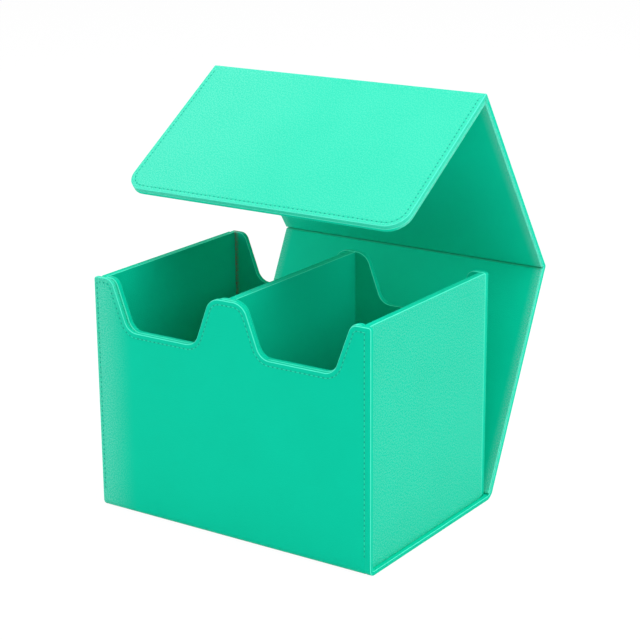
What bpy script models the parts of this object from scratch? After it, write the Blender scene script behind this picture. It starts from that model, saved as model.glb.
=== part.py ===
"""A folding two-row storage case for graded card slabs, built as it is sewn and glued.

A wrap of leatherette over greyboard runs up the front, under the box, up the back, over the
top and down the front as a flap. Leather strips between its boards are its hinges. The box
glued inside it has four covered walls, a divider and a lined floor. Magnets hold the flap.

X is to the right, Y to the back and Z up. The origin is the centre of the box's underside.
"""

import math

import bmesh
import bpy
from mathutils import Matrix, Vector

MM = 0.001

# Overall sizes
BOX_WIDTH = 189.0 * MM
WRAP_OVERHANG = 2.7 * MM
WRAP_WIDTH = BOX_WIDTH + 2 * WRAP_OVERHANG
CASE_DEPTH = 134.4 * MM
CASE_HEIGHT = 146.0 * MM

# Layers. The seat is the gap that glue fills between two pieces
SEAT = 0.3 * MM
LEATHER = 0.8 * MM
WRAP_BOARD = 1.4 * MM
LINING_PLATE = 2.0 * MM
SIDE_BOARD = 2.0 * MM
FRONT_INNER_BOARD = 1.2 * MM
REAR_BOARD = 1.2 * MM
DIVIDER_BOARD = 3.0 * MM
FLOOR_BOARD = 1.6 * MM
FLOOR_LEATHER = 0.8 * MM
WRAP_PANEL = LEATHER + SEAT + WRAP_BOARD

# Notches: thumb room above each row of slabs, between a post at each side and the middle lobe.
# An inner post is measured from the box's side, and a lobe from the middle
NOTCH_DEPTH = 30.6 * MM
NOTCH_SLOPE = 11.5 * MM
WRAP_POST = 13.0 * MM
WRAP_LOBE = 11.8 * MM
INNER_POST = 11.4 * MM
INNER_LOBE = 10.1 * MM
POST_LIP_RADIUS = 6.0 * MM
LOBE_LIP_RADIUS = 10.0 * MM
NOTCH_FLOOR_RADIUS = 9.0 * MM
CORNER_RADIUS = 1.6 * MM
EDGE_RADIUS = 0.7 * MM
LEAST_RADIUS = 0.05 * MM

# Folds: the roll is the distance from a fold's axis to the outer face of its panels, and the
# bend is the radius that the leather takes as the case stands open
REAR_ROLL = 3.0 * MM
APEX_ROLL = 1.8 * MM
REAR_BOTTOM_BEND = 7.6 * MM
REAR_TOP_BEND = 1.9 * MM
FRONT_FOLD_RADIUS = 4.0 * MM
FRONT_FOLD_FLAT = 2.0 * MM
FOLD_MARGIN = 3.6 * MM
LINING_MARGIN = 2.0 * MM
FOLD_LEATHER = 1.6 * MM
REAR_FOLD_BEHIND_WALL = 2.4 * MM

# Lid panels, from fold axis to fold axis, and the flap from its fold axis to its end
BACK_LENGTH = 145.5 * MM
TOP_LENGTH = 142.0 * MM
FLAP_LENGTH = 109.6 * MM
FLAP_CORNER_RADIUS = 13.0 * MM
LINING_INSET = 0.2 * MM

# The lid as it stands open
BACK_LEAN = math.radians(26.0)
REAR_TOP_TURN = math.radians(59.7)
SPINE_SHARE = 0.5
APEX_TURN = math.radians(89.0)

# Magnets
MAGNET_RADIUS = 6.0 * MM
MAGNET_POCKET_CLEARANCE = 0.3 * MM
MAGNET_FROM_SIDE = 35.2 * MM
MAGNET_FROM_FLAP_END = 16.0 * MM

OVERRUN = 2.0 * MM
CORNER_STEPS = 3
NOTCH_STEPS = 6
FLAP_CORNER_STEPS = 8
EDGE_STEPS = 2
FOLD_STEPS = 8
ROUND_STEPS = 32
SHARP_ANGLE = math.radians(35)

# Where the layers lie
FRONT_FACE = -CASE_DEPTH / 2
REAR_FACE = CASE_DEPTH / 2
WALL_BASE = WRAP_PANEL + SEAT
INNER_FRONT_FACE = FRONT_FACE + WRAP_PANEL + SEAT
LINED = 2 * (LEATHER + SEAT)
INNER_FRONT_WALL = FRONT_INNER_BOARD + LINED
REAR_WALL = REAR_BOARD + LINED
SIDE_WALL = SIDE_BOARD + LINED
DIVIDER = DIVIDER_BOARD + LINED
INSIDE_WIDTH = BOX_WIDTH - 2 * SIDE_WALL
ROOM_FRONT = INNER_FRONT_FACE + INNER_FRONT_WALL
ROOM_REAR = REAR_FACE - REAR_WALL
FLOOR_TOP = WALL_BASE + FLOOR_BOARD
REAR_AXIS = Vector((0, REAR_FACE + REAR_FOLD_BEHIND_WALL, REAR_ROLL))

GREEN = (0.0, 0.58, 0.37, 1.0)
LINING_GREEN = (0.0, 0.42, 0.28, 1.0)
GREY = (0.42, 0.40, 0.37, 1.0)
STEEL = (0.62, 0.63, 0.65, 1.0)
LEATHER_ROUGHNESS = 0.55
LINING_ROUGHNESS = 0.6
BOARD_ROUGHNESS = 0.9
STEEL_ROUGHNESS = 0.35


def clear_scene():
    """Removes what the scene holds."""
    for item in list(bpy.data.objects):
        bpy.data.objects.remove(item)


def finish(name, colour, roughness, metallic=0.0):
    """A plain material."""
    material = bpy.data.materials.new(name)
    material.use_nodes = True
    shader = material.node_tree.nodes["Principled BSDF"]
    shader.inputs["Base Color"].default_value = colour
    shader.inputs["Roughness"].default_value = roughness
    shader.inputs["Metallic"].default_value = metallic
    material.diffuse_color = colour
    return material


def add_object(name, bm, material, parent=None):
    """Turns a bmesh with outward faces into a named object."""
    bmesh.ops.recalc_face_normals(bm, faces=bm.faces)
    mesh = bpy.data.meshes.new(name)
    bm.to_mesh(mesh)
    bm.free()
    mesh.shade_smooth()
    mesh.set_sharp_from_angle(angle=SHARP_ANGLE)
    piece = bpy.data.objects.new(name, mesh)
    bpy.context.collection.objects.link(piece)
    if material:
        mesh.materials.append(material)
    piece.parent = parent
    return piece


def cut(piece, cutter):
    """Takes one shape out of a piece."""
    cutter.hide_render = True
    cutter.display_type = "WIRE"
    cutter.parent = piece.parent
    boolean = piece.modifiers.new(cutter.name, "BOOLEAN")
    boolean.operation = "DIFFERENCE"
    boolean.solver = "EXACT"
    boolean.object = cutter


def pivot(name, place, turn, parent=None):
    """An empty on a fold's axis. A positive turn about X folds the lid towards the box."""
    empty = bpy.data.objects.new(name, None)
    bpy.context.collection.objects.link(empty)
    empty.location = place
    empty.rotation_euler = (turn, 0, 0)
    empty.parent = parent
    return empty


def corner(across, along, radius, steps):
    """One corner of an outline."""
    return (across, along, radius, steps)


def rectangle(width, low, high, low_radius, high_radius, high_steps=CORNER_STEPS):
    """Corners of an upright rectangle, anticlockwise."""
    half = width / 2
    return [
        corner(-half, low, low_radius, CORNER_STEPS),
        corner(half, low, low_radius, CORNER_STEPS),
        corner(half, high, high_radius, high_steps),
        corner(-half, high, high_radius, high_steps),
    ]


def notched(width, low, high, post, lobe):
    """Corners of a wall with a sloping notch over each row, anticlockwise."""
    half = width / 2
    floor = high - NOTCH_DEPTH
    outer = half - post

    def notch(left, right, right_lip, left_lip):
        return [
            corner(right, high, right_lip, NOTCH_STEPS),
            corner(right - NOTCH_SLOPE, floor, NOTCH_FLOOR_RADIUS, NOTCH_STEPS),
            corner(left + NOTCH_SLOPE, floor, NOTCH_FLOOR_RADIUS, NOTCH_STEPS),
            corner(left, high, left_lip, NOTCH_STEPS),
        ]

    return [
        corner(-half, low, CORNER_RADIUS, CORNER_STEPS),
        corner(half, low, CORNER_RADIUS, CORNER_STEPS),
        corner(half, high, CORNER_RADIUS, CORNER_STEPS),
        *notch(lobe, outer, POST_LIP_RADIUS, LOBE_LIP_RADIUS),
        *notch(-outer, -lobe, LOBE_LIP_RADIUS, POST_LIP_RADIUS),
        corner(-half, high, CORNER_RADIUS, CORNER_STEPS),
    ]


def inset(corners, distance):
    """Moves every side of an outline inwards, with its rounded corners kept parallel."""
    count = len(corners)
    sides = []
    for n in range(count):
        start = Vector(corners[n][:2])
        along = (Vector(corners[(n + 1) % count][:2]) - start).normalized()
        inward = Vector((-along.y, along.x))
        sides.append((start + inward * distance, along))
    moved = []
    for n in range(count):
        before, after = sides[n - 1], sides[n]
        turn = before[1].cross(after[1])
        reach = (after[0] - before[0]).cross(after[1]) / turn
        point = before[0] + before[1] * reach
        radius = corners[n][2] + (-distance if turn > 0 else distance)
        moved.append(corner(point.x, point.y, max(radius, LEAST_RADIUS), corners[n][3]))
    return moved


def rounded(corners):
    """The points of an outline, with an arc at each corner."""
    points = []
    count = len(corners)
    for n in range(count):
        here = Vector(corners[n][:2])
        radius, steps = corners[n][2:]
        into = (here - Vector(corners[n - 1][:2])).normalized()
        out = (Vector(corners[(n + 1) % count][:2]) - here).normalized()
        turn = -into.angle_signed(out)
        side = math.copysign(1, turn)
        start = here - into * radius * math.tan(abs(turn) / 2)
        middle = start + Vector((-into.y, into.x)) * radius * side
        for step in range(steps + 1):
            spin = Matrix.Rotation(turn * step / steps, 2)
            points.append(middle + spin @ (start - middle))
    return points


def upright(face, sign):
    """Places an outline in a wall across X, with its depth measured from a face."""
    return lambda across, along, depth: Vector((across, face + sign * depth, along))


def sideways(face, sign):
    """Places an outline in a wall along Y, with its depth measured from a face."""
    return lambda across, along, depth: Vector((face + sign * depth, across, along))


def level(face):
    """Places an outline flat, with its depth measured upwards from a face."""
    return lambda across, along, depth: Vector((across, along, face + depth))


def layered(corners, profile, place):
    """A bmesh through rings of the outline, each at one inset and one depth, capped."""
    bm = bmesh.new()
    rings = []
    for step_in, depth in profile:
        points = [place(p.x, p.y, depth) for p in rounded(inset(corners, step_in))]
        rings.append([bm.verts.new(point) for point in points])
    for low, high in zip(rings, rings[1:]):
        for n in range(len(low)):
            bm.faces.new((low[n - 1], low[n], high[n], high[n - 1]))
    bm.faces.new(rings[0])
    bm.faces.new(rings[-1])
    return bm


def edge_round(radius, depth, rising):
    """Insets and depths round an edge: out to the side and down, or back in."""
    steps = []
    for step in range(EDGE_STEPS + 1):
        angle = math.pi / 2 * step / EDGE_STEPS
        if rising:
            steps.append((radius * (1 - math.sin(angle)), depth + radius * (1 - math.cos(angle))))
        else:
            steps.append((radius * (1 - math.cos(angle)), depth - radius * (1 - math.sin(angle))))
    return steps


def tray_profile(depth):
    """A sheet of leather with its edges turned over the board behind it."""
    return edge_round(EDGE_RADIUS, 0, True) + [(0, depth), (LEATHER, depth), (LEATHER, LEATHER)]


def plate_profile(thickness, radius):
    """A plate with a rounded edge on its far side."""
    return [(0, 0)] + edge_round(radius, thickness, False)


def pillow_profile(thickness):
    """A plate with both edges rounded."""
    return edge_round(EDGE_RADIUS, 0, True) + edge_round(EDGE_RADIUS, thickness, False)


def flat_profile(low, high):
    """A plate with square edges."""
    return [(0, low), (0, high)]


def covered_wall(name, outline, base, board, place, looks):
    """A board in a leather cover that is open only at the foot: two solids."""
    thickness = board + LINED
    leather, grey = looks
    cover = add_object(
        f"{name}_lining", layered(outline(base), pillow_profile(thickness), place), leather
    )
    hollow = inset(outline(base - LEATHER - OVERRUN), LEATHER)
    room = flat_profile(LEATHER, thickness - LEATHER)
    cut(cover, add_object(f"{name}_room", layered(hollow, room, place), None))
    held = LEATHER + SEAT
    core = inset(outline(base - held), held)
    add_object(f"{name}_board", layered(core, flat_profile(held, held + board), place), grey)


def bent_strip(name, roll, bend, turn, flats, width, thickness, looks, parent):
    """Leather round a fold. It lies on the panel before the fold, which runs along +Z up to
    the axis, and on the one after it, which leans towards -Y by the turn."""
    outer, inner = [], []
    eased = (bend - roll) * math.tan(turn / 2)
    for out, points in ((bend, outer), (bend - thickness, inner)):
        points.append(Vector((0, out, eased - flats)))
        for step in range(FOLD_STEPS + 1):
            angle = turn * step / FOLD_STEPS
            points.append(Vector((0, out * math.cos(angle), out * math.sin(angle))))
        onward = Vector((0, -math.sin(turn), math.cos(turn)))
        points.append(points[-1] + onward * (flats - eased))
    bm = bmesh.new()
    shift = Vector((-width / 2, roll - bend, -eased))
    verts = [bm.verts.new(point + shift) for point in outer + inner[::-1]]
    face = bm.faces.new(verts)
    swept = bmesh.ops.extrude_face_region(bm, geom=[face])
    moved = [item for item in swept["geom"] if isinstance(item, bmesh.types.BMVert)]
    bmesh.ops.translate(bm, verts=moved, vec=(width, 0, 0))
    return add_object(name, bm, looks, parent)


def disc(name, radius, low, high, place, material, parent=None):
    """A round plate, as a magnet or the cutter of its pocket. Place holds its centre."""
    bm = bmesh.new()
    bmesh.ops.create_cone(
        bm, cap_ends=True, segments=ROUND_STEPS, radius1=radius, radius2=radius, depth=high - low
    )
    across, along, frame = place
    turn = Matrix.Rotation(math.pi / 2, 3, "X")
    bmesh.ops.rotate(bm, verts=bm.verts, matrix=turn)
    bmesh.ops.translate(bm, verts=bm.verts, vec=frame(across, along, (low + high) / 2))
    return add_object(name, bm, material, parent)


def magnets(kind, board, along, frame, material, parent=None):
    """Two magnets, in pockets through a board."""
    low, high = LEATHER + SEAT, LEATHER + SEAT + WRAP_BOARD
    out = WRAP_WIDTH / 2 - MAGNET_FROM_SIDE
    for side, across in (("left", -out), ("right", out)):
        place = (across, along, frame)
        disc(f"{kind}_magnet_{side}", MAGNET_RADIUS, low, high, place, material, parent)
        pocket = MAGNET_RADIUS + MAGNET_POCKET_CLEARANCE
        cutter = disc(f"{kind}_pocket_{side}", pocket, low - OVERRUN, high + OVERRUN, place, None)
        cut(board, cutter)


def wrap_panel(name, corners, place, looks, parent=None):
    """Leather turned over a greyboard. Returns the board."""
    leather, grey = looks
    add_object(f"{name}_cover", layered(corners, tray_profile(WRAP_PANEL), place), leather, parent)
    held = LEATHER + SEAT
    core = layered(inset(corners, held), flat_profile(held, held + WRAP_BOARD), place)
    return add_object(f"{name}_board", core, grey, parent)


def lid_panel(name, corners, lined, face, looks, lining, parent):
    """A wrap panel with a lining plate glued inside it. Returns the board."""
    place = upright(face, -1)
    board = wrap_panel(name, corners, place, looks, parent)
    inner_place = upright(face - WRAP_PANEL - SEAT, -1)
    plate = layered(inset(lined, LINING_INSET), plate_profile(LINING_PLATE, EDGE_RADIUS), inner_place)
    add_object(f"{name}_lining", plate, lining, parent)
    return board


def build_wrap_base(looks, steel):
    """The wrap's front and bottom, which are glued to the box."""
    leather = looks[0]
    front_low = FRONT_FOLD_RADIUS + FRONT_FOLD_FLAT + SEAT
    front = notched(WRAP_WIDTH, front_low, CASE_HEIGHT, WRAP_POST, WRAP_LOBE)
    front_place = upright(FRONT_FACE, 1)
    board = wrap_panel("front", front, front_place, looks)
    closed_apex = REAR_ROLL + BACK_LENGTH + REAR_ROLL - APEX_ROLL
    magnet_height = closed_apex - FLAP_LENGTH + MAGNET_FROM_FLAP_END
    magnets("front", board, magnet_height, front_place, steel)

    bottom = rectangle(
        WRAP_WIDTH, FRONT_FACE + front_low, REAR_AXIS.y - FOLD_MARGIN, CORNER_RADIUS, CORNER_RADIUS
    )
    wrap_panel("bottom", bottom, level(0), looks)

    fold = bent_strip(
        "front_bottom_fold", FRONT_FOLD_RADIUS, FRONT_FOLD_RADIUS, math.pi / 2, FRONT_FOLD_FLAT,
        WRAP_WIDTH, LEATHER, leather, None,
    )
    fold.location = (0, FRONT_FACE + FRONT_FOLD_RADIUS, FRONT_FOLD_RADIUS)
    fold.rotation_euler = (math.pi, 0, 0)
    rear = bent_strip(
        "rear_bottom_fold", REAR_ROLL, REAR_BOTTOM_BEND, math.pi / 2 - BACK_LEAN,
        FOLD_MARGIN - SEAT, WRAP_WIDTH, FOLD_LEATHER, leather, None,
    )
    rear.location = REAR_AXIS
    rear.rotation_euler = (-math.pi / 2, 0, 0)


def build_box(looks):
    """The four walls, the divider and the floor."""
    leather, grey = looks
    seated_post = INNER_POST - SIDE_WALL - SEAT
    covered_wall(
        "inner_front_wall",
        lambda low: notched(INSIDE_WIDTH - 2 * SEAT, low, CASE_HEIGHT, seated_post, INNER_LOBE),
        WALL_BASE, FRONT_INNER_BOARD, upright(INNER_FRONT_FACE, 1), looks,
    )
    covered_wall(
        "rear_wall", lambda low: notched(BOX_WIDTH, low, CASE_HEIGHT, INNER_POST, INNER_LOBE),
        WALL_BASE, REAR_BOARD, upright(REAR_FACE, -1), looks,
    )
    side_front, side_rear = INNER_FRONT_FACE, ROOM_REAR - SEAT
    for side, sign in (("left", -1), ("right", 1)):
        covered_wall(
            f"{side}_wall", lambda low: between(side_front, side_rear, low),
            WALL_BASE, SIDE_BOARD, sideways(sign * BOX_WIDTH / 2, -sign), looks,
        )
    covered_wall(
        "divider", lambda low: between(ROOM_FRONT + SEAT, ROOM_REAR - SEAT, low),
        FLOOR_TOP + SEAT, DIVIDER_BOARD, sideways(-DIVIDER / 2, 1), looks,
    )
    floor = rectangle(
        INSIDE_WIDTH - 2 * SEAT, ROOM_FRONT + SEAT, ROOM_REAR - SEAT, CORNER_RADIUS, CORNER_RADIUS
    )
    add_object("floor_board", layered(floor, flat_profile(0, FLOOR_BOARD), level(WALL_BASE)), grey)
    bay_width = (INSIDE_WIDTH - DIVIDER) / 2 - 2 * SEAT
    bay_centre = (INSIDE_WIDTH + DIVIDER) / 4
    for side, middle in (("left", -bay_centre), ("right", bay_centre)):
        sheet = rectangle(
            bay_width, ROOM_FRONT + SEAT, ROOM_REAR - SEAT, CORNER_RADIUS, CORNER_RADIUS
        )
        moved = [corner(x + middle, y, radius, steps) for x, y, radius, steps in sheet]
        lining = layered(moved, flat_profile(0, FLOOR_LEATHER), level(FLOOR_TOP + SEAT))
        add_object(f"{side}_floor_lining", lining, leather)


def between(front, rear, low):
    """Corners of a wall that runs along Y from front to rear."""
    middle = (front + rear) / 2
    sheet = rectangle(rear - front, low, CASE_HEIGHT, CORNER_RADIUS, CORNER_RADIUS)
    return [corner(y + middle, z, radius, steps) for y, z, radius, steps in sheet]


def lid_sheet(low, high):
    """Corners of a lid panel that ends at a fold both ways."""
    return rectangle(WRAP_WIDTH, low, high, CORNER_RADIUS, CORNER_RADIUS)


def build_lid(looks, lining, steel):
    """The back, top and flap panels, each on its fold's pivot."""
    leather = looks[0]
    back_pivot = pivot("back_pivot", REAR_AXIS, -BACK_LEAN)
    back = lid_sheet(FOLD_MARGIN, BACK_LENGTH - FOLD_MARGIN)
    back_lined = lid_sheet(FOLD_MARGIN, BACK_LENGTH - LINING_MARGIN)
    lid_panel("back", back, back_lined, REAR_ROLL, looks, lining, back_pivot)

    spine_turn = REAR_TOP_TURN * SPINE_SHARE
    spine_pivot = pivot("spine_pivot", (0, 0, BACK_LENGTH), spine_turn, back_pivot)
    spine = bent_strip(
        "rear_top_fold", REAR_ROLL, REAR_TOP_BEND, REAR_TOP_TURN, FOLD_MARGIN - SEAT, WRAP_WIDTH,
        FOLD_LEATHER, leather, spine_pivot,
    )
    spine.rotation_euler = (-spine_turn, 0, 0)

    top_pivot = pivot("top_pivot", (0, 0, 0), REAR_TOP_TURN - spine_turn, spine_pivot)
    top = lid_sheet(FOLD_MARGIN, TOP_LENGTH - FOLD_MARGIN)
    top_lined = lid_sheet(LINING_MARGIN, TOP_LENGTH - FOLD_MARGIN)
    lid_panel("top", top, top_lined, REAR_ROLL, looks, lining, top_pivot)
    apex = (0, REAR_ROLL - APEX_ROLL, TOP_LENGTH)
    apex_fold = bent_strip(
        "front_top_fold", APEX_ROLL, APEX_ROLL, APEX_TURN, FOLD_MARGIN - SEAT, WRAP_WIDTH,
        FOLD_LEATHER, leather, top_pivot,
    )
    apex_fold.location = apex

    flap_pivot = pivot("flap_pivot", apex, APEX_TURN, top_pivot)
    flap = rectangle(
        WRAP_WIDTH, FOLD_MARGIN, FLAP_LENGTH, CORNER_RADIUS, FLAP_CORNER_RADIUS, FLAP_CORNER_STEPS
    )
    board = lid_panel("flap", flap, flap, APEX_ROLL, looks, lining, flap_pivot)
    magnets(
        "flap", board, FLAP_LENGTH - MAGNET_FROM_FLAP_END, upright(APEX_ROLL, -1), steel, flap_pivot
    )


def main():
    """Builds the whole case."""
    clear_scene()
    leather = finish("leatherette", GREEN, LEATHER_ROUGHNESS)
    lining = finish("lining leatherette", LINING_GREEN, LINING_ROUGHNESS)
    grey = finish("greyboard", GREY, BOARD_ROUGHNESS)
    steel = finish("magnet steel", STEEL, STEEL_ROUGHNESS, 1.0)
    build_wrap_base((leather, grey), steel)
    build_box((lining, grey))
    build_lid((leather, grey), lining, steel)


main()
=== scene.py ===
"""Dresses the open storage case for graded card slabs in leatherette, linings and stitches.

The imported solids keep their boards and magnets. Finer pieces stand for the covers, the
linings and the leather folds. Lengths are in metres, in the frame of the solids: X to the
right, Y to the back and Z up, from the centre of the box's underside.
"""

import sys
import logging
import math
from collections.abc import Callable, Iterable, Sequence
from dataclasses import dataclass, field, replace
from enum import Enum

import bmesh
import bpy
from mathutils import Matrix, Vector
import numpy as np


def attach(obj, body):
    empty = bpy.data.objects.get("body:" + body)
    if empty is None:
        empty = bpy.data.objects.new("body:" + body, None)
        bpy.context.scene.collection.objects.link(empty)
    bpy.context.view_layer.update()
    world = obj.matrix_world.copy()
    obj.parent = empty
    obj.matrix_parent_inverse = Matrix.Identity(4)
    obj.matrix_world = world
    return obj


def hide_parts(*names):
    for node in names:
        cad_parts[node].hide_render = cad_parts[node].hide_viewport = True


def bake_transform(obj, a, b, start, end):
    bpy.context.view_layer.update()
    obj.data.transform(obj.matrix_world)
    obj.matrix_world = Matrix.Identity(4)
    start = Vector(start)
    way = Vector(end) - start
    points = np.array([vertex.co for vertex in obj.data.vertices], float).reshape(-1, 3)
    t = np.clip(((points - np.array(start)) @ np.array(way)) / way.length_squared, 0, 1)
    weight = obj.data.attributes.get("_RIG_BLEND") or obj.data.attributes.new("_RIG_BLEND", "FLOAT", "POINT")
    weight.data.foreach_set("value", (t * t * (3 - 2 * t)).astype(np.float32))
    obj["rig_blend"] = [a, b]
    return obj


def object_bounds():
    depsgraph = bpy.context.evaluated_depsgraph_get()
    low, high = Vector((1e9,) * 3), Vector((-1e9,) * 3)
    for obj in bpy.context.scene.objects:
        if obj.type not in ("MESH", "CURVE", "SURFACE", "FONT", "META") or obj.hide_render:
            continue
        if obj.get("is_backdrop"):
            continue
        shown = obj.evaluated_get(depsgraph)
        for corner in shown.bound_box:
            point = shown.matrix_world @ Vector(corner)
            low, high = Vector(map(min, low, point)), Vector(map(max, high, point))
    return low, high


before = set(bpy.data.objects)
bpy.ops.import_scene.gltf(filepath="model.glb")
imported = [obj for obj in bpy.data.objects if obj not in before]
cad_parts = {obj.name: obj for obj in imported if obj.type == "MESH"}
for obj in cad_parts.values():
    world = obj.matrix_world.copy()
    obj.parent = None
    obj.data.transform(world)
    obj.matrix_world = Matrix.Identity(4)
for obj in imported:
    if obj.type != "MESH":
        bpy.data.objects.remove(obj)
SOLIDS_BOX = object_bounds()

LOG = logging.getLogger("card_case")
MM = 0.001

BOX_WIDTH = 189.0 * MM
WRAP_WIDTH = 194.4 * MM
CASE_HEIGHT = 146.0 * MM
FRONT_FACE = -67.2 * MM
REAR_FACE = 67.2 * MM
LEATHER = 0.8 * MM
WRAP_PANEL = 2.72 * MM
SIDE_WALL = 4.2 * MM
OVERRUN = 6.0 * MM
LEAST_RADIUS = 0.05 * MM
SHARP_ANGLE = math.radians(35)
ARC_STEPS = 5
WIDE_ARC_STEPS = 18
WIDE_RADIUS = 5.0 * MM
HOLD_SHARE = 1.6
GROOVE_SHARES = ((1.6, 0), (1.0, 0), (0.45, 1), (-0.45, 1), (-1.0, 0))

PATTERN = "pattern"
RIM_PALE_AND_HIGHLIGHT = "rim_pale_and_highlight"

WHITE = (1.0, 1.0, 1.0, 1.0)
Way = Callable[[Vector], Vector]
Colour = tuple[float, float, float]


class Body(Enum):
    """The moving parts that a piece can ride on."""

    BOX = "box"
    BACK = "back_panel"
    SPINE = "spine"
    TOP = "top_panel"
    FLAP = "flap"


class Slot(Enum):
    """The record's material slots."""

    LEATHERETTE = "leatherette"
    LINING = "lining"
    GREYBOARD = "greyboard"
    MAGNET = "magnet"


@dataclass(frozen=True)
class Corner:
    """A corner of a flat outline, with the radius and the steps of its arc."""

    across: float
    along: float
    radius: float
    steps: int


@dataclass(frozen=True)
class Outline:
    """A flat outline with rounded corners, anticlockwise."""

    corners: tuple[Corner, ...]

    def narrowed(self, left: float, right: float) -> "Outline":
        """Moves the two long sides inwards.

        Args:
            left: how far the left side moves.
            right: how far the right side moves.

        Returns:
            The narrower outline.
        """
        ends = {min(c.across for c in self.corners): left}
        ends[max(c.across for c in self.corners)] = -right
        return Outline(
            tuple(replace(c, across=c.across + ends.get(c.across, 0.0)) for c in self.corners)
        )

    def inset(self, distance: float) -> "Outline":
        """Moves every side inwards and keeps the corners' arcs parallel.

        Args:
            distance: how far the sides move.

        Returns:
            The smaller outline, with as many points.
        """
        count = len(self.corners)
        sides = []
        for n, c in enumerate(self.corners):
            start = Vector((c.across, c.along))
            after = self.corners[(n + 1) % count]
            along = (Vector((after.across, after.along)) - start).normalized()
            sides.append((start + Vector((-along.y, along.x)) * distance, along))
        moved = []
        for n, c in enumerate(self.corners):
            (start, before), (onward, after) = sides[n - 1], sides[n]
            turn = before.cross(after)
            point = start + before * ((onward - start).cross(after) / turn)
            radius = c.radius - math.copysign(distance, turn)
            moved.append(Corner(point.x, point.y, max(radius, LEAST_RADIUS), c.steps))
        return Outline(tuple(moved))

    def arcs(self) -> list[list[Vector]]:
        """The points of each corner's arc, in order."""
        arcs = []
        count = len(self.corners)
        for n, c in enumerate(self.corners):
            here = Vector((c.across, c.along))
            last, following = self.corners[n - 1], self.corners[(n + 1) % count]
            into = (here - Vector((last.across, last.along))).normalized()
            out = (Vector((following.across, following.along)) - here).normalized()
            turn = -into.angle_signed(out)
            start = here - into * c.radius * math.tan(abs(turn) / 2)
            middle = start + Vector((-into.y, into.x)) * c.radius * math.copysign(1, turn)
            arcs.append(
                [
                    middle + Matrix.Rotation(turn * step / c.steps, 2) @ (start - middle)
                    for step in range(c.steps + 1)
                ]
            )
        return arcs

    def points(self) -> list[Vector]:
        """All the points of the outline."""
        return [point for arc in self.arcs() for point in arc]

    def seam(self, first: int) -> list[Vector]:
        """An open line round the outline that leaves out the side before one corner.

        Args:
            first: the corner that the line starts from.

        Returns:
            The line's points.
        """
        arcs = self.arcs()
        turned = arcs[first:] + arcs[:first]
        return [turned[0][-1], *(point for arc in turned[1:-1] for point in arc), turned[-1][0]]


def sheet_outline(
    width: float, low: float, high: float, low_radius: float, high_radius: float
) -> Outline:
    """An upright rectangle.

    Args:
        width: its size across.
        low: its lower end.
        high: its upper end.
        low_radius: the radius of its lower corners.
        high_radius: the radius of its upper corners.

    Returns:
        The outline, centred across.
    """
    half = width / 2
    steps = WIDE_ARC_STEPS if high_radius > WIDE_RADIUS else ARC_STEPS
    return Outline(
        (
            Corner(-half, low, low_radius, ARC_STEPS),
            Corner(half, low, low_radius, ARC_STEPS),
            Corner(half, high, high_radius, steps),
            Corner(-half, high, high_radius, steps),
        )
    )


@dataclass(frozen=True)
class Notches:
    """The two sloping notches of a wall, between a post at each side and the middle lobe."""

    post: float
    lobe: float
    depth: float = 30.6 * MM
    slope: float = 11.5 * MM
    post_lip: float = 6.0 * MM
    lobe_lip: float = 10.0 * MM
    floor_radius: float = 9.0 * MM
    corner_radius: float = 1.6 * MM
    steps: int = 14

    def outline(self, width: float, low: float, high: float) -> Outline:
        """The outline of a wall that has these notches in its upper edge.

        Args:
            width: the wall's size across.
            low: its lower end.
            high: its upper end.

        Returns:
            The outline, from its lower left corner.
        """
        half, floor = width / 2, high - self.depth
        outer = half - self.post

        def notch(left: float, right: float, right_lip: float, left_lip: float) -> list[Corner]:
            """The four corners of one notch, from its right."""
            return [
                Corner(right, high, right_lip, self.steps),
                Corner(right - self.slope, floor, self.floor_radius, self.steps),
                Corner(left + self.slope, floor, self.floor_radius, self.steps),
                Corner(left, high, left_lip, self.steps),
            ]

        def square(across: float, along: float) -> Corner:
            """One of the wall's own corners."""
            return Corner(across, along, self.corner_radius, ARC_STEPS)

        return Outline(
            (
                square(-half, low),
                square(half, low),
                square(half, high),
                *notch(self.lobe, outer, self.post_lip, self.lobe_lip),
                *notch(-outer, -self.lobe, self.lobe_lip, self.post_lip),
                square(-half, high),
            )
        )


@dataclass(frozen=True)
class Ring:
    """One step of a section. Where turned is 1, mid-way round a sharp edge, the leather is painted pale:
    partly stretched leather, partly a painted highlight.
    """

    inset: float
    depth: float
    turned: float = 0.0
    narrow: tuple[float, float] = (0.0, 0.0)


def round_over(radius: float, depth: float, opening: bool) -> list[Ring]:
    """The rounded edge of a section, with a flat ring that holds the face beside it.

    Args:
        radius: the edge's radius.
        depth: the depth of the face beside it.
        opening: True from the face out to the side, False from the side back to the face.

    Returns:
        The rings in order.
    """
    hold = Ring(radius * HOLD_SHARE, depth)
    arc = []
    for step in range(ARC_STEPS + 1):
        angle = math.pi / 2 * step / ARC_STEPS
        drop = radius * (1 - math.cos(angle)) if opening else -radius * (1 - math.sin(angle))
        inward = radius * (1 - math.sin(angle)) if opening else radius * (1 - math.cos(angle))
        # turned peaks mid-arc, where the rim is painted pale: partly stretched leather, partly a painted
        # highlight.
        arc.append(Ring(inward, depth + drop, math.sin(2 * angle)))
    return [hold, *arc] if opening else [*arc, hold]


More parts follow.
